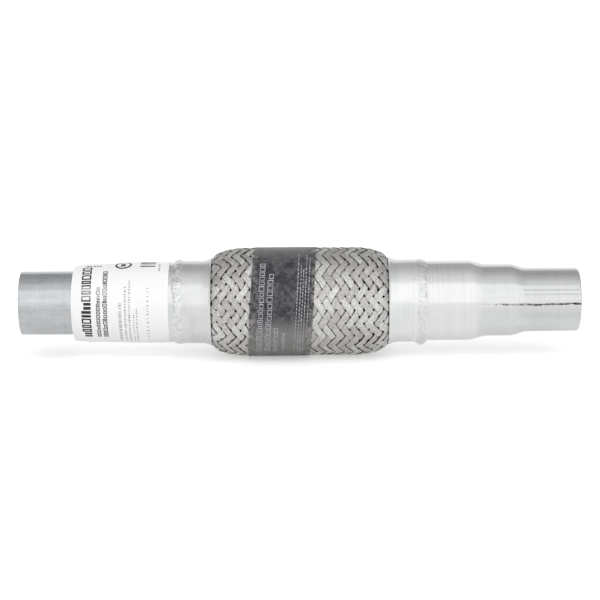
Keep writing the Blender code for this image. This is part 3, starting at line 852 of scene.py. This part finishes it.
def build_tube(side, seam, drawn_lines, rounded_mouth, skin, scale):
    """Stepped pipe with its lengthwise weld seam and the lines that the jaws drew beside it.

    The seam wavers a little, grows from the large section on and holds ragged scale. Its place and
    the drawn lines' are in degrees, and the grid is fine only round them.
    """
    name = side_name(side, "stepped_pipe")
    start, end = span(name, side)
    outside_x, outside_radius = tube_profile(start, end, rounded_mouth)
    fine = np.arange(seam - 6, seam + 30, 0.3)
    coarse = np.arange(seam + 31.5, seam + 353, 2.25)
    angle = np.radians(np.concatenate((fine, coarse)))[:, None]
    x = outside_x[None, :]
    radius = outside_radius[None, :]

    waver = (0.22 * np.sin(x * 160) + 0.12 * np.sin(x * 410 + 1)) * MM
    arc = (angle - math.radians(seam)) * radius - waver
    grown = smooth_step((x - LARGE_END) / SEAM_GROWTH)
    beside = np.abs(arc) - 2.2 * SEAM_HALF_WIDTH
    relief = -furrow(arc, SEAM_HALF_WIDTH, SEAM_DEPTH * (0.06 + 0.94 * grown))
    relief = relief + furrow(beside, SEAM_HALF_WIDTH, SEAM_SHOULDER) * grown
    for degrees in drawn_lines:
        reach = smooth_step((x - DRAW_MARK_START) / (2 * MM))
        line = (angle - math.radians(degrees)) * radius
        relief = relief - furrow(line, DRAW_MARK_HALF_WIDTH, DRAW_MARK_DEPTH) * reach
    out_of_round = TUBE_OUT_OF_ROUND * np.sin(2 * angle + x * 40)

    outside = front_ring(side * x, radius + relief + out_of_round, angle)
    inside = front_ring(side * x[:, ::-1], radius[:, ::-1] - TUBE_WALL, angle)
    ragged = SEAM_HALF_WIDTH * random_source.uniform(0.65, 1.5, x.shape) * grown
    scaled = np.abs(arc + SCALE_OFFSET) < ragged
    mask = np.concatenate((scaled, np.zeros(inside.shape[:2], dtype=bool)), axis=1)
    grid = np.concatenate((outside, inside), axis=1)
    piece = closed_piece(
        name + "_drawn", [grid], [skin, scale], [mask], closed=True, sharp_from=40.0
    )
    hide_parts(name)


def build_collar(side, material):
    """Spun collar, flared over the braid, with a rounded lip and slight dents.

    The flare starts behind the lip's rounding, and left is the share of it that is still to come.
    """
    name = side_name(side, "collar")
    lip, end = span(name, side)
    thick = COLLAR_WALL / 2
    turn = np.radians(np.arange(-90, 91, 30))
    lip_x = lip + thick * (1 - np.cos(turn))
    lip_radius = COLLAR_RADIUS + FLARE_RISE - thick + thick * np.sin(turn)
    left = np.linspace(0.88, 0, 8)
    body_x = np.concatenate(
        (lip + FLARE_LENGTH * (1 - left), np.linspace(lip + FLARE_LENGTH + 1.5 * MM, end, 7))
    )
    rise = np.concatenate((FLARE_RISE * left ** FLARE_CURVE, np.zeros(7)))
    angle = np.radians(np.arange(0, 360, 2.0))[:, None]
    dent = COLLAR_DENT * np.sin(3 * angle + 1.1) * np.cos(body_x[None, :] * 300)
    outside = front_ring(side * body_x[None, :], COLLAR_RADIUS + rise[None, :] + dent, angle)
    inner_radius = COLLAR_RADIUS - COLLAR_WALL + rise[None, ::-1]
    inside = front_ring(side * body_x[None, ::-1], inner_radius, angle)
    rounding = front_ring(side * lip_x[None, :], lip_radius[None, :], angle)
    grid = np.concatenate((inside, rounding, outside), axis=1)
    piece = closed_piece(
        name + "_spun", [grid], [material], closed=True, sharp_from=40.0
    )
    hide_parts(name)


def build_weld(side, lumps, rippling, material):
    """Weld bead laid round the joint: overlapping ripples, an uneven width, and lumps.

    A lump is (degrees, height in millimetres, spread in degrees).
    """
    name = side_name(side, "weld_bead")
    start, end = span(name, side)
    angle = np.radians(np.arange(0, 360, 0.5))[:, None]
    share = np.linspace(0, 1, 13)[None, :]
    foot = BEAD_FOOT - BEAD_FOOT_FALL * share
    pace = 1 + 0.16 * np.sin(3 * angle + side) + 0.1 * np.sin(8 * angle)
    ripples = round(2 * math.pi * LARGE_RADIUS / RIPPLE_SPACING)
    ripple = np.abs(np.sin(angle * ripples / 2 + pace + 3.4 * (share - 0.5) ** 2)) ** 0.6
    swell = 0.3 * np.sin(7 * angle + 0.4 + side) + 0.12 * np.sin(17 * angle + 2)
    profile = np.sin(math.pi * share) ** 0.8
    fade = 0.06 + 0.94 * np.cos(1.5 * (angle - math.radians(35))) ** 4
    height = profile * (BEAD_HEIGHT * (1 + swell) + ripple * RIPPLE_HEIGHT * rippling * fade)
    for degrees, size, spread in lumps:
        away = (np.degrees(angle) - degrees + 180) % 360 - 180
        height = height + size * MM * np.exp(-((away / spread) ** 2)) * profile
    edge = 0.45 * np.sin(5 * angle + 2 * side) + 0.3 * np.sin(13 * angle + 1)
    edge = (edge + 0.2 * np.sin(29 * angle)) * MM
    width = end - start - 2 * BEAD_INSET
    x = start + BEAD_INSET + width * share + edge * (share - 0.5) * 2
    crown = front_ring(side * x, foot + height, angle)
    under = front_ring(side * x[:, ::-3], foot[:, ::-3] - BEAD_SINK, angle)
    grid = np.concatenate((crown, under), axis=1)
    piece = closed_piece(name + "_ripples", [grid], [material], closed=True)
    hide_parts(name)


def build_spatter(side, drops, material):
    """Drops of metal that the arc threw: (x, degrees, radius, how flat), lengths in millimetres."""
    bm = bmesh.new()
    for x, degrees, size, flat in drops:
        carrier = COLLAR_RADIUS if x * MM < COLLAR_END else LARGE_RADIUS
        angle = math.radians(degrees)
        outwards = Vector(front_ring(0.0, 1.0, angle))
        place = Vector(front_ring(side * x * MM, carrier + 0.3 * size * flat * MM, angle))
        for vertex in bmesh.ops.create_icosphere(bm, subdivisions=2, radius=size * MM)["verts"]:
            height = vertex.co.dot(outwards)
            vertex.co = place + vertex.co - outwards * height * (1 - flat)
    mesh = bpy.data.meshes.new(side_name(side, "weld_spatter"))
    bm.to_mesh(mesh)
    bm.free()
    mesh.shade_smooth()
    mesh.materials.append(material)
    piece = add_object(side_name(side, "weld_spatter"), mesh)
    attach(piece, "root")


def scattered_drops(count, x_range, degrees_range, radius_range):
    """Drops spread at random over a patch of the surface, lengths in millimetres."""
    return [
        (
            random_source.uniform(*x_range),
            random_source.uniform(*degrees_range),
            random_source.uniform(*radius_range),
            random_source.uniform(0.5, 0.9),
        )
        for _ in range(count)
    ]


def label_radius(x, angle):
    """Inside of the label: snug on the large section, then a cone over the steps that sags below."""
    low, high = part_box("paper_label")
    profile = [(low.x + along * MM, radius * MM) for along, radius in LABEL_EDGE_PROFILE]
    profile += [*LABEL_CONE_PROFILE, (high.x, LABEL_SNUG_RADIUS)]
    places, radii = zip(*profile)
    loose = np.exp(-np.abs(x - low.x) / LABEL_LOOSE_LENGTH) * np.sin(angle) ** 2
    return np.interp(x, places, radii) + loose * np.where(np.sin(angle) < 0, LABEL_SAG, LABEL_LIFT)


def film_radius(x, angle):
    """Inside of the film: lifted off the braid along its left edge, mostly at the top."""
    low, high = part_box("film_wrap")
    lifted = np.exp(-(x - low.x) / FILM_LIFT_LENGTH) * (0.6 + 0.4 * np.sin(angle))
    return high.z - FILM_THICKNESS - FILM_WAVE - FILM_EDGE_LIFT * (1 - lifted)


def build_wrap(name, x_low, x_high, radius_at, thickness, wave, skew, material, node):
    """A sheet wrapped once round the pipe, lapped over its own start at the back."""
    share = np.linspace(0, 1, 64)[None, :]
    around = np.linspace(0, 2 * math.pi + WRAP_LAP, 230)[:, None]
    angle = around + WRAP_START
    along = x_low + (x_high - x_low) * share - CUT_OUT_OF_SQUARE * np.cos(angle) * (1 - share) ** 3
    sunk = thickness * (1 - smooth_step(around / (2.5 * WRAP_LAP)))
    waves = np.sin(along * 310 + 3 * np.cos(angle)) * np.sin(5 * angle + along * 120)
    base = radius_at(along, angle) - sunk + wave * (waves * np.sin(2 * angle + 1.7) + 1) / 2
    inner = front_ring(along, base, angle)
    outer = front_ring(along, base + thickness, angle)[:, ::-1]
    grid = np.concatenate((inner, outer), axis=1)
    grid[..., 0] += skew * grid[..., 2]
    piece = closed_piece(name, [grid], [material])
    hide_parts(node)


def print_blocks(name, blocks, radius_at, skew, material):
    """Printed blocks: thin curved plates on a wrapped sheet, each (x start, x end, low, high angle)."""
    grids = []
    for x_start, x_end, low, high in blocks:
        steps = max(3, int(abs(high - low) / 4) + 2)
        x = np.linspace(x_start, x_end, 3 + int((x_end - x_start) / MM))[None, :]
        angle = np.radians(np.linspace(low, high, steps))[:, None]
        radius = radius_at(x, angle)
        lower = front_ring(x, radius - INK_SINK, angle)
        upper = front_ring(x, radius + INK_THICKNESS, angle)[:, ::-1]
        grid = np.concatenate((lower, upper), axis=1)
        grid[..., 0] += skew * grid[..., 2]
        grids.append(grid)
    return closed_piece(name, grids, [material])


def broken_row(x_start, x_end, low, high, block, gap):
    """A printed row broken into plain blocks of uneven length, given in degrees round the pipe."""
    blocks = []
    angle = low
    while angle < high:
        length = block * random_source.uniform(0.5, 1.5)
        blocks.append((x_start, x_end, angle, min(angle + length, high)))
        angle += length + gap * random_source.uniform(0.6, 1.6)
    return blocks


def plain_frames(x_start, x_end, low, high, pitch, stroke):
    """Plain frames of uneven length in a row round the pipe, about a pitch of degrees apart."""
    line = math.degrees(stroke / LARGE_RADIUS)
    blocks = []
    bottom = low
    while bottom < high - 0.5 * pitch:
        top = bottom + pitch * random_source.uniform(0.55, 1.25)
        start = x_start + (x_end - x_start) * random_source.choice((0.0, 0.0, 0.22))
        blocks.append((start, x_end, bottom, bottom + line))
        blocks.append((start, x_end, top - line, top))
        blocks.append((start, start + stroke, bottom + line, top - line))
        blocks.append((x_end - stroke, x_end, bottom + line, top - line))
        bottom = top + 0.26 * pitch
    return blocks


def ring_mark(x, degrees, outer, inner, radius_at):
    """A plain printed ring on a wrapped sheet, as a closed ring of points."""
    turn = np.linspace(0, 2 * math.pi, 49)[:-1, None]
    reach = np.array([inner, outer, outer, inner])[None, :]
    lift = np.array([INK_THICKNESS, INK_THICKNESS, -INK_SINK, -INK_SINK])[None, :]
    along = x + reach * np.cos(turn)
    radius = radius_at(along, math.radians(degrees)) + lift
    return front_ring(along, radius, math.radians(degrees) + reach * np.sin(turn) / radius)


def build_label(paper, black_ink, grey_ink):
    """Paper label; its print is plain frames, broken rows, lengthwise lines and a ring.

    Places are in millimetres from its outer edge and in degrees round the pipe.
    """
    low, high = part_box("paper_label")
    build_wrap(
        "paper_label_sheet", low.x, high.x, label_radius, PAPER_THICKNESS,
        PAPER_WAVE, 0.0, paper, "paper_label",
    )

    def surface(x, angle):
        return label_radius(x, angle) + PAPER_THICKNESS + INK_SEAT * PAPER_WAVE

    def rows(shapes, table):
        found = []
        for start, end, bottom, top, size, other in table:
            found += shapes(low.x + start * MM, low.x + end * MM, bottom, top, size, other)
        return found

    def in_reflection_band(block):
        return REFLECTION_BAND[0] < (block[2] + block[3]) / 2 < REFLECTION_BAND[1]

    heavy = rows(
        plain_frames,
        [
            (5.9, 11.8, -49, 69, 6.9, 0.95 * MM),
            (15.1, 17.4, -49, 35, 4.2, 0.5 * MM),
            (19.0, 21.8, -49, 63, 4.2, 0.5 * MM),
        ],
    )
    # Heavy rows in that band take the grey ink: painted reflection of the front lamp on the print.
    inked = [block for block in heavy if not in_reflection_band(block)]
    reflection_rows = [block for block in heavy if in_reflection_band(block)]
    print_blocks("label_heavy_rows", inked, surface, 0.0, black_ink)
    print_blocks("label_painted_reflection_rows", reflection_rows, surface, 0.0, grey_ink)
    light = rows(
        broken_row,
        [
            (28.9, 30.7, -59, 9, 1.3, 1.9),
            (32.4, 33.6, -59, 33, 1.3, 1.9),
            (35.1, 36.1, -59, 42, 1.3, 1.9),
            (37.9, 38.5, -59, -6, 1.5, 2.0),
            (39.7, 40.5, -59, 2, 1.5, 2.0),
            (46.3, 47.6, -59, 31, 1.1, 4.4),
            (53.1, 54.2, 60, 80, 1.4, 1.2),
        ],
    )
    print_blocks("label_light_rows", light, surface, 0.0, grey_ink)
    widths = (2.6, 1.4, 3.4, 1.4, 2.4, 1.2, 3.2, 1.6, 1.2, 2.8, 1.4, 3.0)
    lines = [
        (low.x + 41.7 * MM, low.x + 51.1 * MM, degrees, degrees + width)
        for degrees, width in zip(range(71, 141, 6), widths)
    ]
    lines += [
        (low.x + start * MM, low.x + (start + 1.3) * MM, 77, 80)
        for start in (8.2, 10.1, 12.4, 14.2, 16.0)
    ]
    lines.append((low.x + 29.4 * MM, low.x + 32.4 * MM, 74, 83))
    print_blocks("label_dark_lines", lines, surface, 0.0, black_ink)
    ring = ring_mark(low.x + 31.0 * MM, 79.0, 5.3 * MM, 4.0 * MM, surface)
    closed_piece("label_ring_mark", [ring], [black_ink], closed=True)


def build_film(film, pale_ink):
    """Film round the braid; its print is four rows of plain frames and five broken lines.

    Places are in millimetres from the pipe's middle and in degrees round it.
    """
    low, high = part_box("film_wrap")
    slant = FILM_SKEW * high.z
    build_wrap(
        "film_wrap_sheet", low.x + slant, high.x - slant, film_radius, FILM_THICKNESS,
        FILM_WAVE, FILM_SKEW, film, "film_wrap",
    )

    def surface(x, angle):
        return film_radius(x, angle) + FILM_THICKNESS + INK_SEAT * FILM_WAVE

    rows = []
    for start, end, bottom, top, pitch in (
        (-25.9, -22.6, -54, 55, 4.6),
        (-20.7, -17.2, -54, 42, 4.6),
        (-15.5, -12.8, -54, -20, 4.0),
        (-10.2, -8.4, -52, -27, 4.0),
    ):
        rows += plain_frames(start * MM, end * MM, bottom, top, pitch, FILM_STROKE)
    for start, bottom, top in (
        (-2.4, -54, 67),
        (-0.6, -54, 50),
        (0.9, -54, 46),
        (2.6, -54, 67),
        (4.5, -30, 62),
    ):
        rows += broken_row(start * MM, (start + 0.5) * MM, bottom, top, 2.4, 1.2)
    print_blocks("film_rows", rows, surface, FILM_SKEW, pale_ink)


def paint_nodes(finishes):
    """The hidden bellows and inner rings keep their solids and take their finish here."""
    for name, material in finishes.items():
        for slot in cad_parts[name].material_slots:
            slot.material = material


def studio_floor():
    """Pale table top, white to the eye, that keeps the pipe's shadow."""
    mesh = bpy.data.meshes.new("studio_floor")
    square = ((-1, -1), (1, -1), (1, 1), (-1, 1))
    corners = [(x * FLOOR_REACH, y * FLOOR_REACH, CAD_LOW.z) for x, y in square]
    mesh.from_pydata(corners, [], [(0, 1, 2, 3)])
    floor = add_object("studio_floor", mesh)
    material, tree, shader = new_material("studio_table")
    path = add_node(tree, "ShaderNodeLightPath", {})
    mirrored = add_node(
        tree,
        "ShaderNodeMath",
        {0: path.outputs["Is Glossy Ray"], 1: MIRRORED_GLOW},
        operation="MULTIPLY",
    ).outputs["Value"]
    strength = add_node(
        tree,
        "ShaderNodeMix",
        {"Factor": path.outputs["Is Camera Ray"], "A": mirrored, "B": FLOOR_GLOW},
        data_type="FLOAT",
    ).outputs["Result"]
    fill_inputs(
        tree,
        shader,
        {
            "Base Color": linear("#F4F4F4"),
            "Roughness": 0.9,
            "Specular IOR Level": 0.0,
            "Emission Color": (1.0, 1.0, 1.0, 1.0),
            "Emission Strength": strength,
        },
    )
    mesh.materials.append(material)


def studio_world():
    """White room, lit from the front and dimmer behind, which the camera sees as plain white."""
    world = bpy.data.worlds.new("studio_room")
    bpy.context.scene.world = world
    world.use_nodes = True
    tree = world.node_tree
    direction = add_node(tree, "ShaderNodeTexCoord", {}).outputs["Generated"]
    behind = add_node(tree, "ShaderNodeSeparateXYZ", {"Vector": direction}).outputs["Y"]
    room = add_node(
        tree,
        "ShaderNodeMapRange",
        {
            "Value": behind,
            "From Min": 0.6,
            "From Max": -0.45,
            "To Min": ROOM_BEHIND,
            "To Max": ROOM_FRONT,
        },
        interpolation_type="SMOOTHSTEP",
    ).outputs["Result"]
    seen = add_node(tree, "ShaderNodeLightPath", {}).outputs["Is Camera Ray"]
    strength = add_node(
        tree, "ShaderNodeMix", {"Factor": seen, "A": room, "B": 1.0}, data_type="FLOAT"
    ).outputs["Result"]
    fill_inputs(
        tree, tree.nodes["Background"], {"Color": (1.0, 1.0, 1.0, 1.0), "Strength": strength}
    )


def softbox(name, azimuth, elevation, distance, width, height, radiance):
    """A soft oblong lamp aimed at the pipe; its radiance is what a mirror would show of it."""
    lamp = bpy.data.lights.new(name, "AREA")
    lamp.shape = "RECTANGLE"
    lamp.size = width
    lamp.size_y = height
    lamp.energy = radiance * math.pi * width * height
    holder = add_object(name, lamp)
    turn, rise = math.radians(azimuth), math.radians(elevation)
    level = math.cos(rise)
    direction = Vector((math.sin(turn) * level, -math.cos(turn) * level, math.sin(rise)))
    holder.location = direction * distance
    holder.rotation_euler = direction.to_track_quat("Z", "Y").to_euler()
    holder.visible_camera = False


def make_camera():
    """Camera at the photograph's viewing angle, looking slightly down at the pipe's side."""
    camera = bpy.data.cameras.new("camera")
    camera.lens = CAMERA_LENS
    camera.sensor_width = 36.0
    camera.clip_end = 50.0
    holder = add_object("camera", camera)
    rise = math.radians(CAMERA_ELEVATION)
    towards = Vector((0.0, -math.cos(rise), math.sin(rise)))
    holder.location = Vector(AIM) + towards * CAMERA_DISTANCE
    rotation = towards.to_track_quat("Z", "Y").to_matrix().to_4x4()
    roll = math.radians(CAMERA_ROLL)
    holder.rotation_euler = (rotation @ Matrix.Rotation(-roll, 4, "Z")).to_euler()
    bpy.context.scene.camera = holder


def main():
    """Makes the finishes, then the pieces, then the studio."""
    make_camera()
    outlet_tube = aluminised_tube(
        "aluminised_steel_tube", ("#D1D2D2", "#D4D5D5", "#DFDFDF"),
        blotch=0.45, contrast=0.07, drawing=0.08,
    )
    inlet_tube = aluminised_tube(
        "aluminised_steel_tube_stained", ("#C1C3C5", "#CCCED0", "#DBDCDC"),
        blotch=0.72, contrast=0.16, drawing=0.04,
    )
    scale = seam_scale()
    stainless = spun_stainless("spun_stainless_steel", "#D9DADB", "#DFE0E0", "#E4E4E4")
    # A darker copy of the same stainless for the inlet's collar: painted shade on that end.
    shaded_stainless = spun_stainless("spun_stainless_steel_painted_shade", "#CECECF", "#D6D7D7", "#DDDDDD")
    # Painted shade for the strands' flanks, then one wire in three tones: painted shade, plain, painted
    # glint.
    wires = [
        flank_painted_shade(),
        braided_wire("braided_stainless_wire_painted_shade", "#ABA9A6", "#B7B5B2", "#C3C1BE"),
        braided_wire("braided_stainless_wire", "#B5B3B0", "#C2C0BD", "#CECCC9"),
        braided_wire("braided_stainless_wire_painted_glint", "#C0BFBC", "#CDCCC9", "#DADAD7"),
    ]
    liner_wire = braided_wire("inner_braid_wire", "#8D8A85", "#A6A39D", "#B9B6B0")
    inlet_weld = rippled_weld("arc_welded_steel_pitted", "#B6B8BA", pitting=0.2)
    outlet_weld = rippled_weld("arc_welded_steel", "#CBCDCE", pitting=0.07)
    dark_sheet = bellows_painted_shade()
    black_ink = ribbon_ink("transfer_ink_black", "#2B2B2D", "#0E0E0F")
    grey_ink = ribbon_ink("transfer_ink_grey", "#B2B2B5", "#828287")

    # The bellows take painted shade, near black, so that the braid's gaps read dark.
    paint_nodes({"bellows": dark_sheet, "inlet_inner_ring": stainless, "outlet_inner_ring": stainless})
    build_outer_braid(wires)
    build_inner_braid(liner_wire)
    build_tube(-1, 145.0, (), rounded_mouth=False, skin=inlet_tube, scale=scale)
    build_tube(1, 1.6, (27.6, 19.2), rounded_mouth=True, skin=outlet_tube, scale=scale)
    build_collar(-1, shaded_stainless)
    build_collar(1, stainless)
    inlet_lumps = [(100.0, 0.8, 6.0), (36.0, 0.35, 5.0), (-50.0, 0.4, 8.0)]
    build_weld(-1, inlet_lumps, rippling=1.0, material=inlet_weld)
    outlet_lumps = [(-81.0, 2.0, 7.0), (20.0, 0.4, 6.0), (110.0, 0.35, 9.0)]
    build_weld(1, outlet_lumps, rippling=0.5, material=outlet_weld)
    inlet_drops = [(77.2, 62.6, 0.8, 0.9), (70.2, -6.0, 0.5, 0.4)]
    inlet_drops += scattered_drops(7, (72.2, 73.4), (12, 38), (0.2, 0.4))
    inlet_drops += scattered_drops(16, (62.5, 71), (-50, -28), (0.12, 0.25))
    inlet_drops += scattered_drops(16, (66, 84), (-180, 180), (0.2, 0.45))
    build_spatter(-1, inlet_drops, inlet_weld)
    outlet_drops = scattered_drops(26, (71, 82), (28, 62), (0.2, 0.5))
    outlet_drops += scattered_drops(18, (66, 88), (-180, 180), (0.2, 0.45))
    build_spatter(1, outlet_drops, outlet_weld)
    build_label(coated_paper(), black_ink, grey_ink)
    build_film(smoked_film(*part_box("film_wrap")), screen_ink())

    studio_floor()
    studio_world()
    softbox(
        "front_softbox",
        azimuth=8.0, elevation=31.0, distance=1.7, width=5.2, height=1.9, radiance=0.33,
    )
    softbox(
        "back_softbox",
        azimuth=180.0, elevation=19.0, distance=1.7, width=3.0, height=1.0, radiance=0.5,
    )
    bpy.context.scene.view_settings.view_transform = "Standard"


main()
